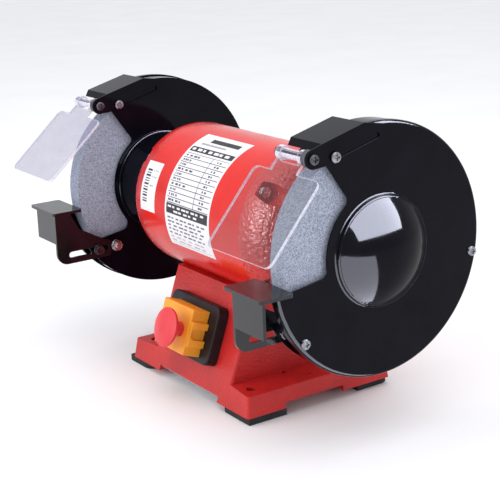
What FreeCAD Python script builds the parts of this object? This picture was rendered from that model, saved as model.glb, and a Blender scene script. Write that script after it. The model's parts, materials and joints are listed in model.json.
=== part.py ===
import FreeCAD, Part
import math
import os

# Bench grinder with two 8 inch wheels. Millimetres, +Z up, +X along the shaft to the right,
# -Y towards the operator. The origin is on the bench, under the middle of the shaft.

# ---- driving dimensions -------------------------------------------------------------------
shaft_height = 175.2        # bench to the centre of the shaft
running_clearance = 0.05    # radial, between a pin and the hole that it turns in
slide_clearance = 0.3       # between faces that pass each other
seat_clearance = 0.1        # between plates that are only laid together

# abrasive wheels and what clamps them
wheel_radius = 101.6
wheel_width = 19.0
wheel_mid_x = 189.3         # middle of the shaft to the middle of a wheel
arbor_radius = 8.0
blotter_thickness = 0.8
blotter_radius = 37.0
inner_flange_width = 3.2
outer_flange_width = 5.0
wheel_flange_radius = 35.0
arbor_nut_flats = 24.0
arbor_nut_height = 10.0
thread_beyond_nut = 4.0

# motor
motor_radius = 75.0
motor_wall = 3.0
tube_left_x = -83.0
tube_right_x = 91.0
bell_shoulder_x = 91.5      # where the end bells begin to round over
bell_flat_radius = 40.0     # flat of the end bell around the bearing boss
bell_wall = 5.0
spigot_length = 6.0
boss_radius = 26.0
boss_projection = 5.5
bearing_outer_radius = 20.0
bearing_bore_radius = 8.5
bearing_width = 12.0
bearing_ball_radius = 3.4
bearing_ball_count = 8
bearing_race_wall = 3.6
shaft_middle_radius = 11.0
shaft_hole_radius = 11.5
stator_half_length = 40.0
stator_bore_radius = 38.5
stator_slot_count = 24
stator_slot_width = 4.6
stator_slot_depth = 17.0
winding_length = 22.0
winding_clearance = 2.5
winding_round_share = 0.25
air_gap = 0.5
rotor_ring_length = 8.0
tie_bolt_inset = 5.5        # axis of a tie bolt inside the bore of the tube
tie_bolt_radius = 3.0
tie_bolt_flats = 10.0
tie_bolt_seat = 8.5         # seat of the bolt heads beyond the shoulder of the bell
tie_bolt_angle = 40.0
tie_pocket_radius = 10.0
tie_lug_wall = 2.0          # around the pocket of a bolt head

# the four bolts that hold the motor down in its cradle
cradle_bolt_x = 52.0
cradle_bolt_y = 20.0
cradle_bolt_radius = 3.0
cradle_head_radius = 5.0
cradle_nut_height = 5.0

# wheel guards
guard_gap = 13.4            # wheel to the inside of the guard, plus the sheet
guard_sheet = 1.2
guard_side_gap = 5.75       # side of the wheel to the outside of a side plate
cover_rim_depth = 8.5
cover_edge_round = 3.5
opening_radius = 60.0       # the side plates are cut back to this radius at the front
opening_top_angle = 55.5
cover_opening_drop = 12.0   # lower edge of the cut in the cover, below the shaft
plate_opening_drop = 49.0   # lower edge of the cut in the inner plate, below the shaft
opening_edge_slope = 8.7
band_end_angle = -48.0      # where the rim band of the inner plate begins, below the front
opening_corner_round = 5.0
plate_corner_round = 8.0    # lower corner of the inner plate's cut
dome_radius = 50.0
dome_riser = 4.0
dome_height = 22.0
hub_radius = 50.0
hub_rim_radius = 56.0
hub_rim_width = 2.6
hub_lip = 1.4
hub_wall = 2.0
plate_screw_inset = 7.0     # cover screws inside the rim of the guard
cover_screw_angles = (-38.0, -169.0)
cover_screw_radius = 2.0
stay_bolt_radius = 3.0
stay_bolt_y = -63.0
guard_bolt_angles = (90.0, 210.0, 330.0)
guard_bolt_inset = 7.0      # inside the flat of the end bell
guard_bolt_radius = 2.5
guard_tab_radius = 6.0       # how far the screw tabs reach in past their screws
guard_tab_sweep = 4.0        # and to either side, in degrees

# base casting
base_half_width = 109.0     # all three at the underside of the slab
base_front_y = -84.3
base_rear_y = 86.5
slab_draft = 2.5            # how far the slab narrows to each side by its top
corner_draft = 3.0          # and to front and back at its corners
foot_height = 7.0
slab_height = 20.4
pad_relief = 5.5
pad_inner_x = 55.0
front_pad_depth = 44.0
rear_pad_depth = 58.0
casting_wall = 6.0
pedestal_half_width = 70.0
cradle_wrap = 10.3          # how far the pedestal reaches up around the motor
face_slope = 0.36           # how far the front leans back for each unit of height
mount_hole_radius = 5.0
mount_hole_inset = 19.0     # holes inside the sides of the base
mount_hole_y = 67.0
foot_size = 43.0
foot_round = 14.0
gland_x = -38.0
gland_up = 16.0             # cable entry above the slab, at the back of the pedestal
gland_radius = 8.0
gland_bore = 4.0
small_hole_places = ((74.5, -18.0, 2.5), (93.0, 0.0, 1.5))
bottom_plate_sheet = 1.2
bottom_screw_x = 40.0
bottom_screw_inset = 7.5
bottom_screw_radius = 1.5
bottom_screw_reach = 6.0
capacitor_radius = 17.0

# spark arrestor brackets and eye shields
bracket_sheet = 1.2
bracket_tilt = 15.0
bracket_width = 44.5
bracket_front = 33.6
bracket_rear = 13.0
bracket_flange_rear = 31.0
bracket_flange_drop = 20.0
bracket_slot_drop = 14.5
bracket_slot_front = 24.7
bracket_slot_rear = 22.7
bracket_lip_reach = 5.0     # spark deflector in front of the bracket's top
bracket_lip_drop = 5.4
bracket_screw_radius = 2.5
bracket_screw_gap = 0.7     # end of the clamping screw to the side of the wheel
bracket_travel = 44.0
pivot_reach = 46.0
pivot_drop = 7.9
ear_radius = 8.5
shield_thickness = 3.0
shield_left = 52.3          # from the middle of the wheel to the shield's left edge
shield_right = 41.7
shield_near = 17.4
shield_far = 100.3
shield_corner = 7.0
shield_neck_left = 29.3
shield_neck_right = 8.2
shield_lug_radius = 6.5
shield_lug_width = 6.5
shield_tube_radius = 4.6
pivot_bolt_radius = 2.5
right_shield_angle = 49.5
left_shield_angle = 41.9

# tool rests
rest_sheet = 3.0
rest_top_drop = 15.0        # top of the table below the shaft
rest_table_gap = 2.0        # table to the wheel
rest_table_depth = 34.0
rest_table_overhang = 12.0
rest_face_width = 45.0
rest_face_height = 34.0
rest_plate_bottom = 72.5
rest_slot_drop = 63.0
rest_slot_half_width = 3.3
rest_slot_front = 118.0
rest_slot_rear = 78.0
rest_plate_rear = 71.0
rest_bolt_y = -86.5
rest_bolt_radius = 3.0

# switch
switch_mid_x = -4.0
switch_mid_up = 37.5        # middle of the switch above the slab, measured along the face
switch_width = 88.0
switch_rise = 59.0
switch_depth = 12.0
switch_corner = 8.0
switch_back_width = 56.0
switch_back_rise = 42.0
switch_back_depth = 25.0
switch_barb = 1.8           # snap barbs that hold the switch in its window
switch_barb_half = 6.0
flap_left = -25.0
flap_right = 29.0
flap_bottom = -24.0
flap_top = 21.5
flap_front = 32.0
flap_wall = 2.0
hinge_barrel_radius = 2.5
hinge_pin_radius = 1.2
flap_pad = 4.0              # raised latch pad on the free side of the flap
flap_pad_bottom = -14.5
flap_pad_top = 10.0
flap_notch_radius = 5.5
flap_notch_up = -2.0
flap_notch_out = 25.0
mushroom_radius = 19.3
mushroom_stem_radius = 7.0
mushroom_mid_u = 14.0
mushroom_mid_up = -1.5
mushroom_under = 46.0
mushroom_edge = 49.0
mushroom_face = 52.0
off_button_top = 18.0
on_button_top = 17.0
on_button_mid_u = -14.0
button_half_rise = 8.0
on_button_half_width = 5.0
off_button_half_width = 7.5

# labels
label_thickness = 0.2

# ---- derived places -----------------------------------------------------------------------
guard_radius = wheel_radius + guard_gap
guard_width = wheel_width + 2 * guard_side_gap
plate_screw_radius = guard_radius - plate_screw_inset
plate_outer_x = wheel_mid_x - guard_width / 2
cover_outer_x = wheel_mid_x + guard_width / 2
slab_bottom_z = foot_height
slab_top_z = foot_height + slab_height
tube_bore = motor_radius - motor_wall
tie_bolt_circle = tube_bore - tie_bolt_inset
tie_bolt_seat_x = bell_shoulder_x + tie_bolt_seat
bell_round = motor_radius - bell_flat_radius
bell_end_x = bell_shoulder_x + bell_round
guard_bolt_circle = bell_flat_radius - guard_bolt_inset
pedestal_top_z = shaft_height - motor_radius + cradle_wrap
boss_end_x = bell_end_x + boss_projection
bearing_out_x = boss_end_x - 3.0
bearing_in_x = bearing_out_x - bearing_width
face_tilt = math.degrees(math.atan(face_slope))
face_rise = 1.0 / math.cos(math.radians(face_tilt))
rotor_radius = stator_bore_radius - air_gap
wheel_in_x = wheel_mid_x - wheel_width / 2
wheel_out_x = wheel_mid_x + wheel_width / 2
arbor_nut_x = wheel_out_x + blotter_thickness + outer_flange_width
arbor_end_x = arbor_nut_x + arbor_nut_height + thread_beyond_nut
bracket_under = guard_radius + slide_clearance
bracket_top = bracket_under + bracket_sheet
rest_table_z = shaft_height - rest_top_drop
rest_rear_y = -(math.sqrt(wheel_radius ** 2 - rest_top_drop ** 2) + rest_table_gap)
rest_front_y = rest_rear_y - rest_table_depth
mount_hole_x = base_half_width - mount_hole_inset
cradle_places = [(sx * cradle_bolt_x, sy * cradle_bolt_y) for sx in (-1, 1) for sy in (-1, 1)]

X_AXIS = FreeCAD.Vector(1, 0, 0)
Y_AXIS = FreeCAD.Vector(0, 1, 0)
Z_AXIS = FreeCAD.Vector(0, 0, 1)
SHAFT = FreeCAD.Vector(0, 0, shaft_height)

nodes = {}


# ---- building blocks ----------------------------------------------------------------------
def block(x0, x1, y0, y1, z0, z1):
    """Box between two corners."""
    corner = FreeCAD.Vector(min(x0, x1), min(y0, y1), min(z0, z1))
    return Part.makeBox(abs(x1 - x0), abs(y1 - y0), abs(z1 - z0), corner)


def rod(x0, x1, radius, y=0.0, z=shaft_height):
    """Cylinder along X."""
    start = FreeCAD.Vector(min(x0, x1), y, z)
    return Part.makeCylinder(radius, abs(x1 - x0), start, X_AXIS)


def post(x, y, z0, z1, radius):
    """Cylinder along Z."""
    return Part.makeCylinder(radius, z1 - z0, FreeCAD.Vector(x, y, z0), FreeCAD.Vector(0, 0, 1))


def tube(x0, x1, outer, inner, y=0.0, z=shaft_height):
    """Ring along X."""
    return rod(x0, x1, outer, y, z).cut(rod(x0 - 1, x1 + 1, inner, y, z))


def outline(points, place):
    """Closed wire; a point written (a, b, mid_a, mid_b) is reached by an arc through mid."""
    edges = []
    here = place(*points[-1][:2])
    for point in points:
        there = place(*point[:2])
        if len(point) == 4:
            edges.append(Part.Arc(here, place(*point[2:]), there).toShape())
        else:
            edges.append(Part.makeLine(here, there))
        here = there
    return Part.Wire(edges)


def turned(points):
    """Solid of revolution about the shaft; points are (x, radius) with optional arc mids."""
    wire = outline(points, lambda x, r: FreeCAD.Vector(x, 0, shaft_height + r))
    return Part.Face(wire).revolve(SHAFT, X_AXIS, 360)


def plate_x(points, x0, x1):
    """Plate parallel to YZ; points are (y, height above the shaft)."""
    low, high = min(x0, x1), max(x0, x1)
    wire = outline(points, lambda y, h: FreeCAD.Vector(low, y, shaft_height + h))
    return Part.Face(wire).extrude(FreeCAD.Vector(high - low, 0, 0))


def plate_y(points, y0, y1):
    """Plate parallel to XZ; points are (x, z)."""
    wire = outline(points, lambda x, z: FreeCAD.Vector(x, y0, z))
    return Part.Face(wire).extrude(FreeCAD.Vector(0, y1 - y0, 0))


def hexagon(x0, x1, flats, y=0.0, z=shaft_height):
    """Hexagonal prism along X."""
    corner = flats / math.sqrt(3)
    points = []
    for k in range(6):
        angle = math.radians(60 * k)
        points.append((y + corner * math.cos(angle), z - shaft_height + corner * math.sin(angle)))
    return plate_x(points, x0, x1)


def joined(shapes):
    """Union of the shapes, with the seams between flush faces removed."""
    result = shapes[0]
    for shape in shapes[1:]:
        result = result.fuse(shape)
    return result.removeSplitter()


def without(shape, tools):
    """The shape with every tool cut away."""
    for tool in tools:
        shape = shape.cut(tool)
    return shape


def group(shapes):
    """Separate solids kept as one node."""
    return Part.makeCompound(shapes)


def mirrored(shape):
    """The same piece on the other end of the shaft."""
    return shape.mirror(FreeCAD.Vector(0, 0, 0), X_AXIS)


def moved(shape, x=0.0, y=0.0, z=0.0):
    """Copy of the shape, shifted."""
    copy = shape.copy()
    copy.translate(FreeCAD.Vector(x, y, z))
    return copy


def spun(shape, degrees, centre=SHAFT, axis=X_AXIS):
    """Copy of the shape, turned about an axis."""
    copy = shape.copy()
    copy.rotate(centre, axis, degrees)
    return copy


def runs_along(edge, axis):
    """Whether an edge is a straight line along the axis."""
    if len(edge.Vertexes) < 2:
        return False
    span = edge.Vertexes[1].Point - edge.Vertexes[0].Point
    return abs(abs(span.dot(axis)) - edge.Length) < 0.001 * edge.Length


def rounded(shape, radius, chosen):
    """The shape with the edges that chosen(edge) picks rounded over."""
    edges = [edge for edge in shape.Edges if chosen(edge)]
    return shape.makeFillet(radius, edges)


def around(angle, radius):
    """y and height of a point at an angle above the operator's side of the shaft."""
    turn = math.radians(angle)
    return -radius * math.cos(turn), radius * math.sin(turn)


def pan_head_screw(x0, direction, radius, head_radius, length, y, z):
    """Pan head screw along X with a cross recess; direction is the side the head faces."""
    head = 0.62 * head_radius
    end = x0 + direction * head
    shank = rod(x0, x0 - direction * length, radius, y, z)
    cap = rod(x0, end, head_radius, y, z)
    rim = [edge for edge in cap.Edges if abs(edge.CenterOfMass.x - end) < 0.01]
    cap = cap.makeFillet(0.55 * head, [edge for edge in rim if edge.Length > head_radius])
    slot = 0.16 * head_radius
    reach = 0.55 * head_radius
    deep = end - direction * 0.5 * head
    across = block(deep, end + direction, y - reach, y + reach, z - slot, z + slot)
    upright = block(deep, end + direction, y - slot, y + slot, z - reach, z + reach)
    return without(joined([cap, shank]), [across, upright])


# ---- motor --------------------------------------------------------------------------------
def tie_bolt_places():
    """y and z of the four long bolts that hold the end bells on."""
    places = []
    for angle in (tie_bolt_angle, 180 - tie_bolt_angle, 180 + tie_bolt_angle, -tie_bolt_angle):
        y, up = around(angle, tie_bolt_circle)
        places.append((y, shaft_height + up))
    return places


def drop_to_motor(radius, y):
    """z of the underside of a cylinder about the shaft, at y."""
    return shaft_height - math.sqrt(radius ** 2 - y ** 2)


def end_bell(seam_x):
    """Cast end bell on the +X end: rounded shell, bearing boss, four lugs with bolt pockets."""
    inside = bell_round - bell_wall
    bend = math.sin(math.radians(45))
    outer_mid = (bell_shoulder_x + bell_round * bend, bell_flat_radius + bell_round * bend)
    inner_mid = (bell_shoulder_x + inside * bend, bell_flat_radius + inside * bend)
    shell = turned([
        (seam_x - spigot_length, tube_bore - bell_wall),
        (seam_x - spigot_length, tube_bore),
        (seam_x, tube_bore),
        (seam_x, motor_radius),
        (bell_shoulder_x, motor_radius),
        (bell_end_x, bell_flat_radius) + outer_mid,
        (bell_end_x, boss_radius),
        (boss_end_x, boss_radius),
        (boss_end_x, shaft_hole_radius),
        (bearing_out_x, shaft_hole_radius),
        (bearing_out_x, bearing_outer_radius),
        (bearing_in_x - 2.0, bearing_outer_radius),
        (bearing_in_x - 2.0, boss_radius),
        (bell_shoulder_x + inside, boss_radius),
        (bell_shoulder_x + inside, bell_flat_radius),
        (bell_shoulder_x, bell_flat_radius + inside) + inner_mid,
    ])
    within = inside + 1.0
    within_mid = (bell_shoulder_x + within * bend, bell_flat_radius + within * bend)
    room = turned([
        (seam_x - spigot_length, 0),
        (seam_x - spigot_length, bell_flat_radius + within),
        (bell_shoulder_x, bell_flat_radius + within),
        (bell_shoulder_x + within, bell_flat_radius) + within_mid,
        (bell_shoulder_x + within, 0),
    ])
    lugs = []
    cuts = []
    for y, z in tie_bolt_places():
        lug = rod(seam_x - spigot_length, bell_end_x, tie_pocket_radius + tie_lug_wall, y, z)
        lugs.append(lug.common(room))
        cuts.append(rod(tie_bolt_seat_x, bell_end_x + 5.0, tie_pocket_radius, y, z))
        cuts.append(rod(seam_x - 20.0, tie_bolt_seat_x + 1.0, tie_bolt_radius + 0.2, y, z))
    for angle in guard_bolt_angles:
        y, up = around(angle, guard_bolt_circle)
        cuts.append(rod(bell_end_x - 10.0, bell_end_x + 1.0, guard_bolt_radius, y, shaft_height + up))
    return without(joined([shell] + lugs), cuts)


def build_motor():
    """Tube, end bells, tie bolts, stator, windings, rotor, shaft and bearings."""
    cradle_holes = []
    bolts = []
    for x, y in cradle_places:
        seat = drop_to_motor(tube_bore, abs(y) + cradle_head_radius) + seat_clearance
        low = pedestal_cavity_top(abs(y) - cradle_head_radius) - seat_clearance
        cradle_holes.append(post(x, y, low, seat, cradle_bolt_radius))
        head = post(x, y, low - 4.0, low, cradle_head_radius)
        shank = post(x, y, low, seat + cradle_nut_height, cradle_bolt_radius)
        bolts.append(joined([head, shank]))
        nut = post(x, y, seat, seat + cradle_nut_height, cradle_head_radius)
        bolts.append(nut.cut(shank))
    nodes["motor_tube"] = without(tube(tube_left_x, tube_right_x, motor_radius, tube_bore), cradle_holes)
    nodes["cradle_bolts"] = group(bolts)
    nodes["end_bell_right"] = end_bell(tube_right_x)
    nodes["end_bell_left"] = mirrored(end_bell(-tube_left_x))

    bolts = []
    nuts = []
    for y, z in tie_bolt_places():
        head = hexagon(tie_bolt_seat_x, tie_bolt_seat_x + 4.2, tie_bolt_flats, y, z)
        shank = rod(-tie_bolt_seat_x - 8.0, tie_bolt_seat_x, tie_bolt_radius, y, z)
        bolts.append(joined([head, shank]))
        nut = hexagon(-tie_bolt_seat_x, -tie_bolt_seat_x - 5.0, tie_bolt_flats, y, z)
        nuts.append(nut.cut(rod(-tie_bolt_seat_x + 1, -tie_bolt_seat_x - 6.0, tie_bolt_radius, y, z)))
    nodes["tie_bolts"] = group(bolts)
    nodes["tie_bolt_nuts"] = group(nuts)

    stator = tube(-stator_half_length, stator_half_length, tube_bore, stator_bore_radius)
    slots = []
    for k in range(stator_slot_count):
        low = stator_bore_radius - 1.0
        slot = block(-stator_half_length - 1, stator_half_length + 1, -stator_slot_width / 2,
                     stator_slot_width / 2, shaft_height + low, shaft_height + low + stator_slot_depth)
        slots.append(spun(slot, 360.0 * k / stator_slot_count))
    for y, z in tie_bolt_places():
        slots.append(rod(-stator_half_length - 1, stator_half_length + 1, tie_bolt_radius + 0.3, y, z))
    nodes["stator_core"] = without(stator, slots)

    coil_outer = tie_bolt_circle - tie_bolt_radius - winding_clearance
    coil_inner = stator_bore_radius + winding_clearance
    coil_round = winding_round_share * (coil_outer - coil_inner)
    coils = []
    for side in (-1, 1):
        start = side * (stator_half_length + seat_clearance)
        far = start + side * winding_length
        coil = tube(min(start, far), max(start, far), coil_outer, coil_inner)
        coils.append(rounded(coil, coil_round, lambda edge: abs(edge.CenterOfMass.x - far) < 0.01
                             and edge.Length > coil_inner))
    nodes["stator_windings"] = group(coils)

    core = tube(-stator_half_length, stator_half_length, rotor_radius, shaft_middle_radius)
    nodes["rotor_core"] = core
    rings = []
    for side in (-1, 1):
        start = side * stator_half_length
        low, high = sorted((start, start + side * rotor_ring_length))
        rings.append(tube(low, high, rotor_radius - 1.0, rotor_radius - 11.0))
    nodes["rotor_end_rings"] = group(rings)

    shoulder = wheel_in_x - blotter_thickness - inner_flange_width
    nodes["arbor_shaft"] = turned([
        (arbor_end_x, 0),
        (arbor_end_x, arbor_radius - 1.5), (arbor_end_x - 1.5, arbor_radius),
        (shoulder, arbor_radius), (shoulder, bearing_bore_radius + 1.2),
        (bearing_out_x + 2.0, bearing_bore_radius + 1.2), (bearing_out_x + 2.0, bearing_bore_radius),
        (bearing_in_x, bearing_bore_radius), (bearing_in_x, shaft_middle_radius),
        (-bearing_in_x, shaft_middle_radius), (-bearing_in_x, bearing_bore_radius),
        (-bearing_out_x - 2.0, bearing_bore_radius), (-bearing_out_x - 2.0, bearing_bore_radius + 1.2),
        (-shoulder, bearing_bore_radius + 1.2), (-shoulder, arbor_radius),
        (-arbor_end_x + 1.5, arbor_radius), (-arbor_end_x, arbor_radius - 1.5), (-arbor_end_x, 0),
    ])
    build_bearings()


def build_bearings():
    """Two ball bearings: fixed outer races, turning inner races and the balls between."""
    outer_races = []
    inner_races = []
    balls = []
    middle = (bearing_in_x + bearing_out_x) / 2
    pitch = (bearing_outer_radius + bearing_bore_radius) / 2
    groove = bearing_ball_radius + running_clearance
    for side in (-1, 1):
        centre = FreeCAD.Vector(side * middle, 0, shaft_height)
        track = Part.makeTorus(pitch, groove, centre, X_AXIS)
        low = side * middle - bearing_width / 2
        high = side * middle + bearing_width / 2
        outer = tube(low, high, bearing_outer_radius, bearing_outer_radius - bearing_race_wall)
        inner = tube(low, high, bearing_bore_radius + bearing_race_wall, bearing_bore_radius)
        outer_races.append(outer.cut(track))
        inner_races.append(inner.cut(track))
        for k in range(bearing_ball_count):
            y, up = around(360.0 * k / bearing_ball_count, pitch)
            balls.append(Part.makeSphere(bearing_ball_radius,
                                         FreeCAD.Vector(side * middle, y, shaft_height + up)))
    nodes["bearing_outer_races"] = group(outer_races)
    nodes["bearing_inner_races"] = group(inner_races)
    nodes["bearing_balls"] = group(balls)
    washer = tube(bearing_in_x - 1.2, bearing_in_x - 0.2, bearing_outer_radius, bearing_outer_radius - 4.0)
    nodes["bearing_preload_washer"] = washer


# ---- wheels -------------------------------------------------------------------------------
def build_wheels():
    """Abrasive wheels with their blotters, clamping flanges and arbor nuts."""
    wheel = tube(wheel_in_x, wheel_out_x, wheel_radius, arbor_radius)
    flange_in = wheel_in_x - blotter_thickness
    inner = turned([
        (flange_in - inner_flange_width, arbor_radius),
        (flange_in, arbor_radius),
        (flange_in, wheel_flange_radius - 9.0),
        (flange_in - 0.8, wheel_flange_radius - 9.0),
        (flange_in, wheel_flange_radius - 6.0),
        (flange_in, wheel_flange_radius),
        (flange_in - 2.0, wheel_flange_radius),
        (flange_in - inner_flange_width, wheel_flange_radius - 6.0),
    ])
    flange_out = wheel_out_x + blotter_thickness
    outer = turned([
        (flange_out, arbor_radius + running_clearance),
        (flange_out, wheel_flange_radius),
        (flange_out + 2.5, wheel_flange_radius),
        (arbor_nut_x, wheel_flange_radius - 9.0),
        (arbor_nut_x, arbor_radius + running_clearance),
    ])
    nut = hexagon(arbor_nut_x, arbor_nut_x + arbor_nut_height, arbor_nut_flats)
    nut = nut.cut(rod(arbor_nut_x - 1, arbor_nut_x + arbor_nut_height + 1, arbor_radius))
    blotters = [
        tube(flange_in, wheel_in_x, blotter_radius, arbor_radius + 0.5),
        tube(wheel_out_x, flange_out, blotter_radius, arbor_radius + 0.5),
    ]
    for name, shape in (("wheel", wheel), ("inner_flange", inner), ("outer_flange", outer),
                        ("arbor_nut", nut)):
        nodes[name + "_right"] = shape
        nodes[name + "_left"] = mirrored(shape)
    nodes["wheel_blotters"] = group(blotters + [mirrored(shape) for shape in blotters])


# ---- guards -------------------------------------------------------------------------------
def opening_tool(drop, x0, x1):
    """What is cut from a side plate to bare the wheel: a wedge outside the hub circle."""
    far = 3 * guard_radius
    slope = math.tan(math.radians(opening_edge_slope))
    top_y, top_up = around(opening_top_angle, far)
    wedge = plate_x([
        (0, 0),
        (0, -drop + opening_radius * slope),
        (-far, -drop - (far - opening_radius) * slope),
        (-far, top_up),
        (top_y, top_up),
    ], x0, x1)
    return wedge.cut(rod(x0 - 1, x1 + 1, opening_radius))


def soften_opening(plate, middle_x, upper_round, lower_round):
    """Round the inner corners that the opening leaves in a side plate."""
    for side, radius in ((1, upper_round), (-1, lower_round)):
        def corner(edge):
            place = edge.CenterOfMass
            reach = math.hypot(place.y, place.z - shaft_height)
            at_hub = abs(reach - opening_radius) < 0.1 and place.y < 0
            above = side * (place.z - shaft_height) > 1.0
            near = abs(place.x - middle_x) < guard_sheet
            return runs_along(edge, X_AXIS) and at_hub and above and near
        plate = rounded(plate, radius, corner)
    return plate


def sector(angle0, angle1, x0, x1):
    """Wedge about the shaft between two angles, larger than any guard."""
    far = 3 * guard_radius
    steps = 1 + int(abs(angle1 - angle0) / 60.0)
    points = [(0, 0)]
    for k in range(steps + 1):
        points.append(around(angle0 + (angle1 - angle0) * k / steps, far))
    return plate_x(points, x0, x1)


def build_guards():
    """Inner plate with rim band, outer cover with dome, hub cup, and their screws."""
    x0 = plate_outer_x
    band_radius = guard_radius - guard_sheet - seat_clearance
    band_end = cover_outer_x - cover_edge_round - seat_clearance
    side = rod(x0, x0 + guard_sheet, band_radius).cut(opening_tool(plate_opening_drop, x0 - 1, x0 + 5))
    side = soften_opening(side, x0 + guard_sheet / 2, opening_corner_round, plate_corner_round)
    band = tube(x0, band_end, band_radius, band_radius - guard_sheet)
    band = band.common(sector(opening_top_angle, 360.0 + band_end_angle, x0 - 1, band_end + 1))
    rest_y, rest_z = rest_bolt_y, shaft_height - rest_slot_drop
    holes = [
        rod(x0 - 1, x0 + 5, shaft_hole_radius + 3.0),
        rod(x0 - 1, x0 + 5, rest_bolt_radius, rest_y, rest_z),
        rod(x0 - 1, x0 + 5, stay_bolt_radius, stay_bolt_y, shaft_height - rest_slot_drop),
        rod(x0 - 1, x0 + 5, 1.2, 6.8, shaft_height + 61.0),
    ]
    plate = joined([side, band])
    tabs = []
    for angle in cover_screw_angles:
        y, up = around(angle, plate_screw_radius)
        tab = tube(band_end - guard_sheet, band_end, band_radius, plate_screw_radius - guard_tab_radius)
        reach = angle - guard_tab_sweep
        if angle > band_end_angle:
            reach = band_end_angle - guard_tab_sweep
        tab = tab.common(sector(angle + guard_tab_sweep, reach, band_end - 5, band_end + 5))
        tabs.append(tab.cut(rod(band_end - 3, band_end + 1, cover_screw_radius, y, shaft_height + up)))
    plate = without(joined([plate] + tabs), holes)
    nodes["guard_plate_right"] = plate
    nodes["guard_plate_left"] = mirrored(plate).cut(bracket_screw_hole(-x0 - 5, -x0 + 5))

    cover = guard_cover()
    nodes["guard_cover_right"] = cover.cut(bracket_screw_hole(cover_outer_x - 5, 230))
    nodes["guard_cover_left"] = mirrored(cover)

    start = bell_end_x + seat_clearance
    rim_x = x0 - hub_rim_width
    hub = turned([
        (start, boss_radius + 0.4),
        (start, hub_radius - 4.0),
        (start + 4.0, hub_radius, start + 1.2, hub_radius - 1.2),
        (rim_x, hub_rim_radius - hub_lip),
        (rim_x + hub_lip, hub_rim_radius, rim_x + 0.3 * hub_lip, hub_rim_radius - 0.3 * hub_lip),
        (x0, hub_rim_radius),
        (x0, hub_radius - hub_wall),
        (start + hub_wall, hub_radius - hub_wall),
        (start + hub_wall, boss_radius + 0.4),
    ])
    bolts = []
    bores = []
    for angle in guard_bolt_angles:
        y, up = around(angle, guard_bolt_circle)
        z = shaft_height + up
        head = hexagon(start + hub_wall, start + hub_wall + 3.5, 8.0, y, z)
        bolts.append(joined([head, rod(bell_end_x - 9.0, start + hub_wall, guard_bolt_radius, y, z)]))
        bores.append(rod(start - 1, start + hub_wall + 1, guard_bolt_radius, y, z))
    hub = without(hub, bores)
    nodes["guard_hub_right"] = hub
    nodes["guard_hub_left"] = mirrored(hub)
    nodes["guard_bolts"] = group(bolts + [mirrored(bolt) for bolt in bolts])

    screws = []
    for angle in cover_screw_angles:
        y, up = around(angle, plate_screw_radius)
        screw = pan_head_screw(cover_outer_x, 1, cover_screw_radius, 4.6, 6.5, y, shaft_height + up)
        screws.extend([screw, mirrored(screw)])
    nodes["cover_screws"] = group(screws)

    stays = []
    z = shaft_height - rest_slot_drop
    head = rod(x0 + guard_sheet, x0 + guard_sheet + 1.6, 6.5, stay_bolt_y, z)
    shank = rod(x0 - 7.0, x0 + guard_sheet, stay_bolt_radius, stay_bolt_y, z)
    nut = hexagon(x0 - 5.0, x0 - 1.2, 10.0, stay_bolt_y, z)
    washer = rod(x0 - 1.2, x0, 6.2, stay_bolt_y, z)
    stay = joined([head, shank, nut, washer])
    nodes["guard_stay_bolts"] = group([stay, mirrored(stay)])


def bracket_place(forward, out):
    """y and z of a point on the bracket: forward along its plate, out from the shaft."""
    turn = math.radians(bracket_tilt)
    y = -(forward * math.cos(turn) + out * math.sin(turn))
    z = shaft_height + out * math.cos(turn) - forward * math.sin(turn)
    return y, z


def bracket_screw_hole(x0, x1):
    """Hole for the screw that clamps the bracket, at the front end of its slot."""
    y, z = bracket_place(bracket_slot_front, bracket_under - bracket_slot_drop)
    return rod(x0, x1, bracket_screw_radius, y, z)


def ball_radius(rise, reach):
    """Radius of the ball whose cap has this rise and reaches this far from its axis."""
    return (reach ** 2 + rise ** 2) / (2 * rise)


def cap_mid(top, rise, reach):
    """Point halfway along the arc from a cap's edge to its top, as (height, radius)."""
    ball = ball_radius(rise, reach)
    half = math.asin(reach / ball) / 2
    return top - ball * (1 - math.cos(half)), ball * math.sin(half)


def guard_cover():
    """Outer cover on the +X end: side plate with a pressed dome and a turned rim."""
    x1 = cover_outer_x
    r = guard_radius
    t = guard_sheet
    bend = cover_edge_round * (1 - math.sin(math.radians(45)))
    inner_round = cover_edge_round - t
    inner_bend = inner_round * (1 - math.sin(math.radians(45)))
    rise = dome_height - dome_riser
    top = x1 + dome_riser
    ball = ball_radius(rise, dome_radius - 2.0)
    in_edge = math.sqrt((ball - t) ** 2 - (ball - rise) ** 2)
    crown_mid = cap_mid(x1 + dome_height, rise, dome_radius - 2.0)
    inner_mid = cap_mid(x1 + dome_height - t, rise - t, in_edge)
    shape = turned([
        (x1 + dome_height, 0),
        (top, dome_radius - 2.0) + crown_mid,
        (x1 + 2.0, dome_radius, top - 0.6, dome_radius - 0.6),
        (x1, dome_radius + 2.0, x1 + 0.6, dome_radius + 0.6),
        (x1, r - cover_edge_round),
        (x1 - cover_edge_round, r, x1 - bend, r - bend),
        (x1 - cover_rim_depth, r),
        (x1 - cover_rim_depth, r - t),
        (x1 - cover_edge_round, r - t),
        (x1 - t, r - cover_edge_round, x1 - t - inner_bend, r - t - inner_bend),
        (x1 - t, in_edge),
        (top, in_edge),
        (x1 + dome_height - t, 0) + inner_mid,
    ])
    cut = opening_tool(cover_opening_drop, x1 - 30, x1 + 1.0)
    shape = soften_opening(shape.cut(cut), x1 - t / 2, opening_corner_round, opening_corner_round)
    holes = []
    for angle in cover_screw_angles:
        y, up = around(angle, plate_screw_radius)
        holes.append(rod(x1 - 5, x1 + 1, cover_screw_radius, y, shaft_height + up))
    return without(shape, holes)


# ---- base ---------------------------------------------------------------------------------
def face_y(z):
    """y of the pedestal's leaning front face at height z."""
    return base_front_y + face_slope * (z - slab_bottom_z)


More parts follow.
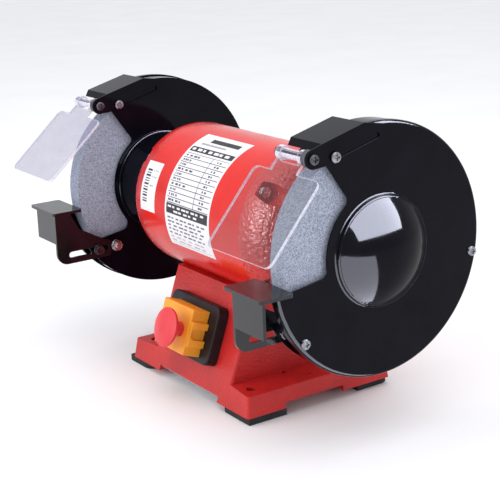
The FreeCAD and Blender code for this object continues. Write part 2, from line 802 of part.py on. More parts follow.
def rear_y(z):
    """y of the pedestal's leaning rear face at height z."""
    return base_rear_y - face_slope * (z - slab_bottom_z)


def pedestal_body(inset, z0, z1):
    """Leaning block between z0 and z1, its walls moved in by inset."""
    lean = inset * face_rise
    side = Part.Wire(Part.makePolygon([
        FreeCAD.Vector(-pedestal_half_width + inset, y, z) for y, z in (
            (face_y(z0) + lean, z0), (rear_y(z0) - lean, z0),
            (rear_y(z1) - lean, z1), (face_y(z1) + lean, z1), (face_y(z0) + lean, z0))]))
    return Part.Face(side).extrude(FreeCAD.Vector(2 * (pedestal_half_width - inset), 0, 0))


def pedestal_cavity_top(y):
    """z of the cavity's ceiling under the motor, at y."""
    return drop_to_motor(motor_radius + casting_wall, y)


def switch_place(shape):
    """Move a piece drawn about the switch's middle, facing -Y, onto the leaning face."""
    up = switch_mid_up * math.cos(math.radians(face_tilt))
    z = slab_top_z + up
    turned_shape = spun(shape, -face_tilt, FreeCAD.Vector(0, 0, 0))
    return moved(turned_shape, switch_mid_x, face_y(z), z)


def gland_place(shape):
    """Move a piece drawn about the cable entry, facing +Y, onto the leaning rear face."""
    z = slab_top_z + gland_up
    turned_shape = spun(shape, face_tilt, FreeCAD.Vector(0, 0, 0))
    return moved(turned_shape, gland_x, rear_y(z), z)


def slab_outline(half_width, corner_in, z):
    """Eight-cornered outline of the slab at height z; its middle follows the pedestal's faces."""
    front = base_front_y + corner_in
    rear = base_rear_y - corner_in
    points = [
        (-half_width, front), (-pedestal_half_width, face_y(z)), (pedestal_half_width, face_y(z)),
        (half_width, front), (half_width, rear), (pedestal_half_width, rear_y(z)),
        (-pedestal_half_width, rear_y(z)), (-half_width, rear),
    ]
    return outline(points, lambda x, y: FreeCAD.Vector(x, y, z))


def corner_places():
    """x and y of the four mounting holes."""
    return [(sx * mount_hole_x, sy * mount_hole_y) for sx in (-1, 1) for sy in (-1, 1)]


def build_base():
    """Casting with slab, pads and pedestal, its bottom plate, feet, gland and electrics."""
    relief_z = slab_bottom_z + pad_relief
    front_pad_y = base_front_y + front_pad_depth
    rear_pad_y = base_rear_y - rear_pad_depth
    far = 2 * base_half_width
    slab = Part.makeLoft([
        slab_outline(base_half_width, 0, slab_bottom_z),
        slab_outline(base_half_width - slab_draft, corner_draft, slab_top_z),
    ], True, True)
    slab = rounded(slab, 3.0, lambda edge: abs(edge.CenterOfMass.x) > base_half_width - slab_draft
                   and abs(edge.CenterOfMass.y) > pedestal_half_width)
    slab = without(slab, [block(-pad_inner_x, pad_inner_x, -far, far, 0, relief_z),
                          block(-far, far, front_pad_y, rear_pad_y, 0, relief_z)])
    pedestal = pedestal_body(0, relief_z, pedestal_top_z)
    pedestal = rounded(pedestal, 3.0, lambda edge: abs(edge.CenterOfMass.x) > pedestal_half_width - 0.1
                       and not runs_along(edge, Y_AXIS))
    casting = joined([slab, pedestal])
    cavity = pedestal_body(casting_wall, relief_z + 1.0, pedestal_top_z + 5)
    cavity = cavity.cut(rod(-200, 200, motor_radius + casting_wall))
    narrow = pad_inner_x - casting_wall
    wide = pedestal_half_width - casting_wall
    mouth = [
        block(-narrow, narrow, face_y(slab_top_z) + casting_wall, rear_y(slab_top_z) - casting_wall,
              slab_bottom_z, slab_top_z - casting_wall),
        block(-wide, wide, front_pad_y + casting_wall, rear_pad_y - casting_wall,
              slab_bottom_z, slab_top_z),
    ]
    wings = []
    for side in (-1, 1):
        wings.append(block(side * (pedestal_half_width + 4.0), side * (base_half_width - casting_wall),
                           front_pad_y + casting_wall, rear_pad_y - casting_wall,
                           slab_bottom_z, slab_top_z - 12.0))
    cradle = rod(-200, 200, motor_radius + seat_clearance / 2)
    holes = [post(x, y, 0, slab_top_z + 1, mount_hole_radius) for x, y in corner_places()]
    for x, y, radius in small_hole_places:
        for side in (-1, 1):
            holes.append(post(side * x, y, slab_top_z - 8.0, slab_top_z + 1, radius))
    for x, y in cradle_places:
        holes.append(post(x, y, slab_top_z, shaft_height, cradle_bolt_radius))
    for x, y in bottom_screw_places():
        holes.append(post(x, y, 0, relief_z + bottom_screw_reach + 1.0, bottom_screw_radius))
    half_w = switch_back_width / 2 + slide_clearance
    half_h = switch_back_rise / 2 + slide_clearance
    window = switch_place(block(-half_w, half_w, -1, casting_wall * 3, -half_h, half_h))
    entry = gland_place(Part.makeCylinder(gland_radius, 30, FreeCAD.Vector(0, 1, 0), FreeCAD.Vector(0, -1, 0)))
    casting = without(casting, [cavity, cradle, window, entry] + mouth + wings + holes)
    nodes["base_casting"] = casting

    plate_low = relief_z - bottom_plate_sheet
    gap = 0.5
    plate = joined([
        block(-pad_inner_x + gap, pad_inner_x - gap, base_front_y + 3, base_rear_y - 3, plate_low, relief_z),
        block(-wide - 4.0, wide + 4.0, front_pad_y + gap, rear_pad_y - gap, plate_low, relief_z),
    ])
    screws = []
    for x, y in bottom_screw_places():
        plate = plate.cut(post(x, y, 0, relief_z + 1, bottom_screw_radius))
        screws.append(joined([post(x, y, plate_low - 1.6, plate_low, 2 * bottom_screw_radius),
                              post(x, y, plate_low, relief_z + bottom_screw_reach, bottom_screw_radius)]))
    nodes["base_bottom_plate"] = plate
    nodes["bottom_plate_screws"] = group(screws)
    build_feet()
    build_electrics()


def bottom_screw_places():
    """x and y of the screws that hold the bottom plate."""
    rows = (base_front_y + bottom_screw_inset, base_rear_y - bottom_screw_inset)
    return [(side * bottom_screw_x, y) for y in rows for side in (-1, 1)]


def build_feet():
    """Four equal rubber feet with one round corner; each stands and is turned its own way."""
    half = foot_size / 2
    bend = foot_round * (1 - math.sin(math.radians(45)))
    edge = base_half_width - half
    settings = [
        (edge - 0.5, base_front_y + half + 2.0, 90),
        (-edge - 8.0, base_front_y + half + 1.0, -90),
        (edge - 3.7, base_rear_y - half + 5.0, 0),
        (-edge + 3.7, base_rear_y - half + 5.0, 90),
    ]
    feet = []
    for x, y, turn in settings:
        corner = outline([
            (-half, -half), (half, -half), (half, half - foot_round),
            (half - foot_round, half, half - bend, half - bend), (-half, half),
        ], lambda a, b: FreeCAD.Vector(a, b, 0))
        foot = Part.Face(corner).extrude(FreeCAD.Vector(0, 0, foot_height))
        foot = moved(spun(foot, turn, FreeCAD.Vector(0, 0, 0), Z_AXIS), x, y)
        hole_x = math.copysign(mount_hole_x, x)
        hole_y = math.copysign(mount_hole_y, y)
        feet.append(foot.cut(post(hole_x, hole_y, -1, foot_height + 1, mount_hole_radius)))
    nodes["rubber_feet"] = group(feet)


def build_electrics():
    """Run capacitor with its strap, terminal block and the cable gland at the back."""
    floor_z = slab_bottom_z + pad_relief
    radius = capacitor_radius
    centre_z = floor_z + radius + 1.0
    centre_y = 22.0
    can = rod(-30, 38, radius, centre_y, centre_z)
    strap = tube(0, 12, radius + 1.2, radius, centre_y, centre_z)
    foot = block(0, 12, centre_y - radius - 12, centre_y - radius + 4, floor_z, floor_z + 1.2)
    strap = joined([strap, foot.cut(rod(-1, 13, radius, centre_y, centre_z))])
    strap = strap.common(block(-1, 13, -100, 100, floor_z, 200))
    nodes["run_capacitor"] = group([can, strap])
    terminal = block(-58, -46, -26, 20, floor_z, floor_z + 14)
    wells = [block(-56, -48, y, y + 7, floor_z + 6, floor_z + 20) for y in (-24, -15, -6, 3, 12)]
    nodes["terminal_block"] = without(terminal, wells)

    collar = Part.makeCylinder(gland_radius + 4, 5, FreeCAD.Vector(0, 0, 0), FreeCAD.Vector(0, 1, 0))
    nose = Part.makeCone(gland_radius + 1.5, gland_radius - 2.0, 9, FreeCAD.Vector(0, 5, 0),
                         FreeCAD.Vector(0, 1, 0))
    neck = Part.makeCylinder(gland_radius, 12, FreeCAD.Vector(0, 0, 0), FreeCAD.Vector(0, -1, 0))
    bore = Part.makeCylinder(gland_bore, 40, FreeCAD.Vector(0, -20, 0), FreeCAD.Vector(0, 1, 0))
    gland = joined([collar, nose, neck]).cut(bore)
    ring = Part.makeCylinder(gland_radius + 3.5, 4, FreeCAD.Vector(0, -casting_wall, 0),
                             FreeCAD.Vector(0, -1, 0))
    ring = ring.cut(Part.makeCylinder(gland_radius, 12, FreeCAD.Vector(0, 0, 0), FreeCAD.Vector(0, -1, 0)))
    nodes["cable_gland"] = gland_place(group([gland, ring]))


# ---- brackets and shields -----------------------------------------------------------------
def bracket_plate(points, x0, x1):
    """Plate parallel to YZ in the bracket's own frame; points are (forward, out)."""
    return spun(plate_x([(-f, out) for f, out in points], x0, x1), bracket_tilt)


def bracket(outer_x):
    """Bent bracket whose slotted flange lies just outside outer_x."""
    flange_x = outer_x + slide_clearance
    flange_end = flange_x + bracket_sheet
    inner_x = flange_end - bracket_width
    low = bracket_top - bracket_flange_drop
    top = [(bracket_front, bracket_under), (bracket_front, bracket_top),
           (-bracket_rear, bracket_top), (-bracket_rear, bracket_under)]
    pivot_out = bracket_top - pivot_drop - 1.0
    flange = [(bracket_front, low), (bracket_front, bracket_top), (-bracket_rear, bracket_top),
              (-bracket_flange_rear, bracket_top - 8.0), (-bracket_flange_rear, low)]
    arm = [(bracket_front - 1, low), (pivot_reach, pivot_out - ear_radius),
           (pivot_reach, pivot_out + ear_radius), (bracket_front - 1, bracket_top)]
    inner = [(bracket_front, bracket_top), (-bracket_rear, bracket_top),
             (-bracket_rear, bracket_under - 6.0), (bracket_front - 8.0, bracket_under - 9.0),
             (bracket_front, bracket_under - 5.0)]
    lip_end = (bracket_front + bracket_lip_reach, bracket_top - bracket_lip_drop)
    lip = [(bracket_front, bracket_under), (bracket_front, bracket_top), lip_end,
           (lip_end[0] - 0.9, lip_end[1] - 0.8)]
    y, z = bracket_place(pivot_reach, pivot_out)
    slot = []
    for forward in (bracket_slot_front, -bracket_slot_rear):
        slot.append(rod(flange_x - 1, flange_end + 1, bracket_screw_radius + 0.3,
                        *bracket_place(forward, bracket_under - bracket_slot_drop)))
    half = bracket_screw_radius + 0.3
    middle = bracket_under - bracket_slot_drop
    slot.append(bracket_plate([
        (bracket_slot_front, middle - half), (bracket_slot_front, middle + half),
        (-bracket_slot_rear, middle + half), (-bracket_slot_rear, middle - half),
    ], flange_x - 1, flange_end + 1))
    sheet = joined([
        bracket_plate(top, inner_x, flange_end),
        bracket_plate(flange, flange_x, flange_end),
        bracket_plate(arm, flange_x, flange_end),
        rod(flange_x, flange_end, ear_radius, y, z),
        bracket_plate(inner, inner_x, inner_x + bracket_sheet),
        bracket_plate(lip, inner_x, flange_end),
    ])
    return without(sheet, slot + [rod(flange_x - 1, flange_end + 1, pivot_bolt_radius, y, z)])


def build_bracket(name, outer_x, middle_x, angle):
    """Bracket, clamping screw, pivot bolt with collar and eye shield of one side."""
    nodes["shield_bracket_" + name] = bracket(outer_x)
    flange_end = outer_x + slide_clearance + bracket_sheet
    pivot_out = bracket_top - pivot_drop - 1.0
    y, z = bracket_place(pivot_reach, pivot_out)
    screw_y, screw_z = bracket_place(bracket_slot_front, bracket_under - bracket_slot_drop)
    screw_face = flange_end + slide_clearance
    reach = guard_side_gap + bracket_sheet + 2 * slide_clearance - bracket_screw_gap
    screw = pan_head_screw(screw_face, 1, bracket_screw_radius, 5.0, reach, screw_y, screw_z)

    lug_right = middle_x + shield_neck_right
    lug_left = middle_x - shield_neck_left
    head = pan_head_screw(flange_end, 1, pivot_bolt_radius, 4.8, flange_end - lug_left + 5.5, y, z)
    nut = hexagon(lug_left - 4.3, lug_left - slide_clearance, 8.0, y, z)
    collar = tube(lug_right + slide_clearance, outer_x + slide_clearance, 7.6, pivot_bolt_radius, y, z)
    bolt = joined([head, nut])
    nodes["shield_pivot_" + name] = group([bolt, collar])
    nodes["eye_shield_" + name] = eye_shield(middle_x, angle, y, z)
    return screw


def eye_shield(middle_x, angle, y, z):
    """Clear sheet with rounded corners, a narrower neck, and a tube with two lugs on the pivot."""
    half = shield_thickness / 2
    left = middle_x - shield_left
    right = middle_x + shield_right
    neck_left = middle_x - shield_neck_left
    neck_right = middle_x + shield_neck_right
    sheet = block(left, right, -shield_far, -shield_near, -half, half)
    sheet = rounded(sheet, shield_corner, lambda edge: runs_along(edge, Z_AXIS))
    neck = block(neck_left, neck_right, -shield_near - 1, -shield_lug_radius - 1.5, -half, half)
    lugs = []
    for start in (neck_left, neck_right - shield_lug_width):
        end = start + shield_lug_width
        lugs.append(Part.makeCylinder(shield_lug_radius, shield_lug_width,
                                      FreeCAD.Vector(start, 0, 0), X_AXIS))
        lugs.append(block(start, end, -shield_lug_radius - 2, 0, -half, half))
    lugs.append(Part.makeCylinder(shield_tube_radius, neck_right - neck_left,
                                  FreeCAD.Vector(neck_left, 0, 0), X_AXIS))
    hole = Part.makeCylinder(pivot_bolt_radius + running_clearance, 400,
                             FreeCAD.Vector(left - 100, 0, 0), X_AXIS)
    shape = joined([sheet, neck] + lugs).cut(hole)
    return moved(spun(shape, angle, FreeCAD.Vector(0, 0, 0)), 0, y, z)


def build_brackets():
    """Both brackets stand with their slotted flange on the +X side of the guard."""
    right = build_bracket("right", cover_outer_x, wheel_mid_x, right_shield_angle)
    left_middle = -plate_outer_x - (cover_outer_x - wheel_mid_x)
    left = build_bracket("left", -plate_outer_x, left_middle, left_shield_angle)
    nodes["bracket_screws"] = group([right, left])


# ---- tool rests ---------------------------------------------------------------------------
def tool_rest(plate_x0, table_x0):
    """Bent steel rest: slotted plate beside the guard, front face and table."""
    top = rest_table_z
    under = top - rest_sheet
    table_x1 = table_x0 + rest_table_overhang + rest_face_width
    table = block(table_x0, table_x1, rest_front_y, rest_rear_y, under, top)
    table = rounded(table, 3.0, lambda edge: runs_along(edge, Z_AXIS))
    face_x0 = table_x0 + rest_table_overhang
    face = block(face_x0, table_x1, rest_front_y + 1.5, rest_front_y + 1.5 + rest_sheet,
                 top - rest_face_height, under)
    front = rest_front_y + 1.5
    low = -rest_plate_bottom
    high = -rest_slot_drop + (rest_plate_bottom - rest_slot_drop)
    bend = 12.0 * (1 - math.sin(math.radians(45)))
    end_bend = 5.0 * (1 - math.sin(math.radians(45)))
    rear = -rest_plate_rear
    side = plate_x([
        (front, -rest_top_drop - 1.0),
        (front, low + 12.0),
        (front + 12.0, low, front + bend, low + bend),
        (rear - 5.0, low),
        (rear, low + 5.0, rear - end_bend, low + end_bend),
        (rear, high - 5.0),
        (rear - 5.0, high, rear - end_bend, high - end_bend),
        (rear - 6.0, high),
        (front + 27.0, -36.0),
        (front + 17.0, -rest_top_drop - 1.0),
    ], plate_x0, plate_x0 + rest_sheet)
    slot_z = shaft_height - rest_slot_drop
    slot = [
        rod(plate_x0 - 1, plate_x0 + 5, rest_slot_half_width, -rest_slot_front, slot_z),
        rod(plate_x0 - 1, plate_x0 + 5, rest_slot_half_width, -rest_slot_rear, slot_z),
        block(plate_x0 - 1, plate_x0 + 5, -rest_slot_front, -rest_slot_rear,
              slot_z - rest_slot_half_width, slot_z + rest_slot_half_width),
    ]
    return without(joined([table, face, side]), slot)


def build_rests():
    """Right rest hangs by its left edge, left rest by its right edge, each beside its guard."""
    plate = plate_outer_x - slide_clearance - rest_sheet
    nodes["tool_rest_right"] = tool_rest(plate, plate - rest_table_overhang)
    left_plate = -plate_outer_x + slide_clearance
    left_table = left_plate + rest_sheet - rest_table_overhang - rest_face_width
    nodes["tool_rest_left"] = tool_rest(left_plate, left_table)
    z = shaft_height - rest_slot_drop
    outer = plate - slide_clearance
    washer = tube(outer - 1.0, outer, 5.6, rest_bolt_radius, rest_bolt_y, z)
    head = hexagon(outer - 5.0, outer - 1.0, 9.0, rest_bolt_y, z)
    inside = plate_outer_x + guard_sheet
    bolt = joined([head, rod(outer - 5.0, inside + 5.0, rest_bolt_radius, rest_bolt_y, z)])
    nut = hexagon(inside, inside + 5.0, 10.0, rest_bolt_y, z)
    nut = nut.cut(rod(inside - 1, inside + 6, rest_bolt_radius, rest_bolt_y, z))
    nodes["rest_bolts"] = group([bolt, mirrored(bolt), washer, mirrored(washer)])
    nodes["rest_nuts"] = group([nut, mirrored(nut)])


# ---- switch -------------------------------------------------------------------------------
def switch_block(u0, u1, out0, out1, up0, up1):
    """Box in the switch's own frame: u to the right, out from the face, up along it."""
    return block(u0, u1, -out1, -out0, up0, up1)


def switch_rod(u, up, out0, out1, radius):
    """Cylinder along the switch's outward direction."""
    return Part.makeCylinder(radius, out1 - out0, FreeCAD.Vector(u, -out0, up), FreeCAD.Vector(0, -1, 0))


def hinge_rod(up0, up1, radius):
    """Cylinder on the flap's hinge line."""
    out = switch_depth + hinge_barrel_radius + slide_clearance
    u = flap_left - hinge_barrel_radius + 0.5
    return Part.makeCylinder(radius, up1 - up0, FreeCAD.Vector(u, -out, up0), FreeCAD.Vector(0, 0, 1))


def build_switch():
    """Switch body with snap barbs behind the face, its buttons, and the hinged flap."""
    half_w = switch_width / 2
    half_h = switch_rise / 2
    housing = switch_block(-half_w, half_w, 0, switch_depth, -half_h, half_h)
    housing = rounded(housing, switch_corner, lambda edge: runs_along(edge, Y_AXIS))
    housing = rounded(housing, 1.5, lambda edge: abs(edge.CenterOfMass.y + switch_depth) < 0.01)
    back = switch_block(-switch_back_width / 2, switch_back_width / 2, -switch_back_depth, 0,
                        -switch_back_rise / 2, switch_back_rise / 2)
    off_hole = switch_block(mushroom_mid_u - off_button_half_width - 0.2,
                            mushroom_mid_u + off_button_half_width + 0.2,
                            switch_depth - 8, switch_depth + 1,
                            mushroom_mid_up - button_half_rise - 0.2,
                            mushroom_mid_up + button_half_rise + 0.2)
    on_hole = switch_block(on_button_mid_u - on_button_half_width - 0.2,
                           on_button_mid_u + on_button_half_width + 0.2,
                           switch_depth - 8, switch_depth + 1, -button_half_rise - 0.2,
                           button_half_rise + 0.2)
    lugs = []
    for up in (flap_bottom + 9.0, flap_top - 13.0):
        lug = hinge_rod(up, up + 4.0, hinge_barrel_radius)
        base = switch_block(flap_left - 2 * hinge_barrel_radius + 0.5, flap_left + 0.5,
                            switch_depth - 0.5, switch_depth + hinge_barrel_radius, up, up + 4.0)
        lugs.append(joined([lug, base]))
    for side in (-1, 1):
        edge = side * switch_back_rise / 2
        barb = plate_x([(casting_wall + slide_clearance, edge - side),
                        (casting_wall + slide_clearance, edge + side * switch_barb),
                        (casting_wall + 6.0, edge - side)], -switch_barb_half, switch_barb_half)
        lugs.append(moved(barb, z=-shaft_height))
    pin_bore = hinge_rod(flap_bottom - 1, flap_top + 1, hinge_pin_radius)
    housing = without(joined([housing, back] + lugs), [off_hole, on_hole, pin_bore])
    nodes["switch_housing"] = switch_place(housing)
    nodes["flap_hinge_pin"] = switch_place(hinge_rod(flap_bottom + 2.0, flap_top - 2.0, hinge_pin_radius))
    off = switch_block(mushroom_mid_u - off_button_half_width, mushroom_mid_u + off_button_half_width,
                       switch_depth - 3.5, off_button_top, mushroom_mid_up - button_half_rise,
                       mushroom_mid_up + button_half_rise)
    on = switch_block(on_button_mid_u - on_button_half_width, on_button_mid_u + on_button_half_width,
                      switch_depth - 4.5, on_button_top, -button_half_rise, button_half_rise)
    nodes["off_button"] = switch_place(soft_front(off, off_button_top))
    nodes["on_button"] = switch_place(soft_front(on, on_button_top))
    build_flap()


def soft_front(shape, out):
    """Round the edges of the face that lies this far out."""
    return rounded(shape, 1.0, lambda edge: abs(edge.CenterOfMass.y + out) < 0.01)


def build_flap():
    """Yellow flap with a notched latch pad, and the red mushroom button in it."""
    low = switch_depth + slide_clearance
    shell = switch_block(flap_left, flap_right, low, flap_front, flap_bottom, flap_top)
    shell = rounded(shell, 1.5, lambda edge: abs(edge.CenterOfMass.y + flap_front) < 0.01)
    inner = switch_block(flap_left + flap_wall, flap_right - flap_wall, low - 1, flap_front - flap_wall,
                         flap_bottom + flap_wall, flap_top - flap_wall)
    pad = switch_block(flap_right - 1, flap_right + flap_pad, low, flap_front - 0.7,
                       flap_pad_bottom, flap_pad_top)
    pad = rounded(pad, 0.6, lambda edge: abs(edge.CenterOfMass.x - flap_right - flap_pad) < 0.01)
    middle = FreeCAD.Vector(flap_right, -flap_notch_out, flap_notch_up)
    notch = [
        switch_block(flap_right, flap_right + flap_pad + 1, low - 1, flap_notch_out,
                     flap_notch_up - flap_notch_radius, flap_notch_up + flap_notch_radius),
        Part.makeCylinder(flap_notch_radius, flap_pad + 1, middle, X_AXIS),
    ]
    barrels = []
    for up0, up1 in ((flap_bottom + 4.0, flap_bottom + 8.6), (flap_bottom + 13.4, flap_top - 13.4),
                     (flap_top - 8.6, flap_top - 4.0)):
        arm = switch_block(flap_left - hinge_barrel_radius + 0.5, flap_left + 1,
                           low + 1.2, low + 2 * hinge_barrel_radius, up0, up1)
        barrels.append(joined([hinge_rod(up0, up1, hinge_barrel_radius), arm]))
    stem_hole = switch_rod(mushroom_mid_u, mushroom_mid_up, flap_front - flap_wall - 1, flap_front + 1,
                           mushroom_stem_radius + slide_clearance)
    pin_bore = hinge_rod(flap_bottom - 1, flap_top + 1, hinge_pin_radius + running_clearance)
    relief = []
    for up in (flap_bottom + 9.0, flap_top - 13.0):
        relief.append(switch_block(flap_left - 6, flap_left + 3.0, low - 1, low + 7.0,
                                   up - slide_clearance, up + 4.0 + slide_clearance))
    flap = without(joined([shell.cut(inner), without(pad, notch)]), relief)
    flap = without(joined([flap] + barrels), [stem_hole, pin_bore])
    nodes["switch_flap"] = switch_place(flap)

    rim = mushroom_radius
    under = mushroom_under
    edge = mushroom_edge
    face = mushroom_face
    points = [
        (off_button_top + slide_clearance, 0), (off_button_top + slide_clearance, mushroom_stem_radius - 1.0),
        (off_button_top + slide_clearance + 1.0, mushroom_stem_radius),
        (under, mushroom_stem_radius), (under, rim - 1.5),
        (under + 1.5, rim, under + 0.45, rim - 0.45), (edge, rim),
        (face, 0) + cap_mid(face, face - edge, rim),
    ]
    wire = outline(points, lambda out, r: FreeCAD.Vector(mushroom_mid_u + r, -out, mushroom_mid_up))
    middle = FreeCAD.Vector(mushroom_mid_u, 0, mushroom_mid_up)
    head = Part.Face(wire).revolve(middle, Y_AXIS, 360)
    nodes["mushroom_button"] = switch_place(head)


# ---- labels -------------------------------------------------------------------------------
def wrapped_label(x0, x1, angle0, angle1):
    """Thin label on the motor tube between two x and two angles above the operator's side."""
    skin = tube(x0, x1, motor_radius + label_thickness, motor_radius)
    return skin.common(sector(angle0, angle1, x0 - 1, x1 + 1))


def build_labels():
    """Data label over the front of the tube and a small serial label beside it."""
    nodes["data_label"] = wrapped_label(-41.0, 41.0, -24.5, 75.0)
    nodes["serial_label"] = wrapped_label(-90.0, -62.0, -3.0, 36.5)


def main():
    """Build every node and write one STEP file for each."""
    build_motor()
    build_wheels()
    build_guards()
    build_base()
    build_brackets()
    build_rests()
    build_switch()
    build_labels()
    os.makedirs("parts", exist_ok=True)
    for name, shape in nodes.items():
        shape.exportStep(os.path.join("parts", name + ".step"))
        print(name, len(shape.Solids), round(shape.Volume / 1000.0, 2), "cm3", shape.isValid())
    print(len(nodes), "nodes")


main()
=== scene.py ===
# %% [markdown]
# # A bench grinder, dressed for display
# The imported grinder comes in as a fixed frame: every node is already in its place, in metres.
# This lesson lights it, gives each finish its own nodes, and makes the pieces that deserve
# finer surfaces than the CAD gives.

# %% Load the frame
import json
import math
import bmesh
import bpy
import numpy as np
from mathutils import Matrix, Vector


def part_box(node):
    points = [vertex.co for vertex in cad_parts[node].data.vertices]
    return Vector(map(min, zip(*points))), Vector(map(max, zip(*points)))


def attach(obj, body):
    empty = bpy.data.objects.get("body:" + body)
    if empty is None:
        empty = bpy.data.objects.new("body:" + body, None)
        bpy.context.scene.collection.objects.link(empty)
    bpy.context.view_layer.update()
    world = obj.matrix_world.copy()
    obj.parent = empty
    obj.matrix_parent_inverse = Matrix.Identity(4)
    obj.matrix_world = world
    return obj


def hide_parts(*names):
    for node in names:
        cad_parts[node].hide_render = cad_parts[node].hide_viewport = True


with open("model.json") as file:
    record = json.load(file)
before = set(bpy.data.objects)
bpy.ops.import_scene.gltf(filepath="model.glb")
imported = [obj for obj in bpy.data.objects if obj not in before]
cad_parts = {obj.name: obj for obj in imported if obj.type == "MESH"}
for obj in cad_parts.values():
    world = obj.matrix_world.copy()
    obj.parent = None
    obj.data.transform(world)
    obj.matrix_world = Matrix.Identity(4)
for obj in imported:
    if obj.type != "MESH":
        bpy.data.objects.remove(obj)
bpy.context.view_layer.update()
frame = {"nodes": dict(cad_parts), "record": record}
node = frame["nodes"]

# %% [markdown]
# ## Camera
# The grinder is looked at from its front right, a little from above. A camera is a place, three
# directions and a lens, so its matrix is written from an azimuth, an elevation and a small roll.

# %% Place the camera
SHAFT = Vector((0.0, 0.0, 0.1752))
CAMERA_ANGLES = (56.52, 14.087, -2.288)     # azimuth, elevation and roll, in degrees
CAMERA_DISTANCE = 1.2857
LENS_MM = 92.48
LENS_SHIFT = (-0.0008, -0.0836)


def camera_axes(azimuth, elevation, roll):
    """Right, up and back vectors of a camera: back points from the object to the lens."""
    a, e, r = (math.radians(v) for v in (azimuth, elevation, roll))
    back = Vector((math.sin(a) * math.cos(e), -math.cos(a) * math.cos(e), math.sin(e)))
    level = Vector((math.cos(a), math.sin(a), 0.0))
    up = back.cross(level)
    return (math.cos(r) * level + math.sin(r) * up,
            math.cos(r) * up - math.sin(r) * level, back)


right, up, back = camera_axes(*CAMERA_ANGLES)
lens = bpy.data.cameras.new("camera")
lens.lens = LENS_MM
lens.sensor_width = 36.0
lens.shift_x, lens.shift_y = LENS_SHIFT
lens.clip_start = 0.05
lens.clip_end = 60.0
camera = bpy.data.objects.new("camera", lens)
place = SHAFT + CAMERA_DISTANCE * back
camera.matrix_world = Matrix((
    (right.x, up.x, back.x, place.x), (right.y, up.y, back.y, place.y),
    (right.z, up.z, back.z, place.z), (0.0, 0.0, 0.0, 1.0)))
bpy.context.scene.collection.objects.link(camera)
bpy.context.scene.camera = camera
print("camera", [round(c, 3) for c in place])

# %% [markdown]
# ## Floor and light
# A workshop product is shown on a white sweep. An even bright sky does most of the work, a soft
# box above lifts the tops, one at the front gives the castings a little shape and a weak one
# stands at the side. Gloss black sheet only shows what it mirrors, so a wide window and a low card
# stand where the right cover looks at them, and a third lamp draws the highlight on the right end
# bell. These three show in reflections only. Light linking lets the first two reach the right
# cover and the two hubs and nothing else, and the third only the bell, so this is not one
# consistent room: it is a choice made for the gloss.

# %% Make the floor and the lamps
def soft_box(name, azimuth, elevation, distance, width, height, power, colour=(1.0, 1.0, 1.0)):
    """Rectangular lamp seen from the shaft at an azimuth and elevation, facing it."""
    a, e = math.radians(azimuth), math.radians(elevation)
    way = Vector((math.sin(a) * math.cos(e), -math.cos(a) * math.cos(e), math.sin(e)))
    lamp = bpy.data.lights.new(name, "AREA")
    lamp.shape = "RECTANGLE"
    lamp.size = width
    lamp.size_y = height
    lamp.energy = power
    lamp.color = colour
    holder = bpy.data.objects.new(name, lamp)
    holder.location = SHAFT + distance * way
    holder.rotation_mode = "QUATERNION"
    holder.rotation_quaternion = way.to_track_quat("Z", "Y")
    bpy.context.scene.collection.objects.link(holder)
    return holder


FLOOR_HALF = 9.0
LOW_CARD_PLACE = (0.665, -0.36)

soft_box("top_box", 0.0, 86.0, 2.0, 2.4, 2.0, 18.0)
soft_box("front_box", -14.0, 20.0, 2.2, 1.4, 1.2, 13.0)
soft_box("side_box", 96.0, 30.0, 2.2, 1.2, 1.2, 4.0)
mirrored_lamps = [
    soft_box("window", 105.0, 38.0, 1.6, 2.25, 1.55, 900.0, (0.80, 0.83, 1.0)),
    soft_box("low_card", 0.0, -90.0, 0.171, 0.87, 0.78, 46.0, (0.84, 0.86, 1.0)),
]
mirrored_lamps[1].location.xy = LOW_CARD_PLACE
cast_lamp = soft_box("cast_highlight", 22.0, 16.0, 1.6, 0.8, 0.9, 62.0)

world = bpy.data.worlds.new("studio")
bpy.context.scene.world = world
world.use_nodes = True
sky = world.node_tree.nodes["Background"]
sky.inputs["Color"].default_value = (0.96, 0.97, 1.0, 1.0)
sky.inputs["Strength"].default_value = 0.93
bpy.context.scene.view_settings.view_transform = "Standard"

floor_mesh = bpy.data.meshes.new("floor")
corners = ((-1, -1), (1, -1), (1, 1), (-1, 1))
floor_mesh.from_pydata([(FLOOR_HALF * x, FLOOR_HALF * y, 0) for x, y in corners], [],
                       [(0, 1, 2, 3)])
floor = bpy.data.objects.new("floor", floor_mesh)
bpy.context.scene.collection.objects.link(floor)
gloss_black = bpy.data.collections.new("gloss_black")
gloss_cast = bpy.data.collections.new("gloss_cast")
reached = [(cast_lamp, gloss_cast)] + [(lamp, gloss_black) for lamp in mirrored_lamps]
for lamp, receivers in reached:
    lamp.visible_camera = False
    lamp.visible_diffuse = False
    lamp.light_linking.receiver_collection = receivers

# %% [markdown]
# ## How a finish is written
# Each finish is one Principled shader with a few textures round it: something that varies the
# colour, something that varies the gloss, and something that lifts the surface. Three small
# helpers keep those graphs short. All of them read Object coordinates, in metres, so a scale
# of 1000 is a grain of about a millimetre.

# %% Helpers for finishes
def finish(name, colour, rough, **sockets):
    """New material whose Principled shader has these values on its own sockets."""
    made = bpy.data.materials.new(name)
    made.use_nodes = True
    shader = made.node_tree.nodes["Principled BSDF"]
    shader.inputs["Base Color"].default_value = (*colour, 1.0)
    shader.inputs["Roughness"].default_value = rough
    for key, value in sockets.items():
        shader.inputs[key.replace("_", " ")].default_value = value
    return made, made.node_tree, shader


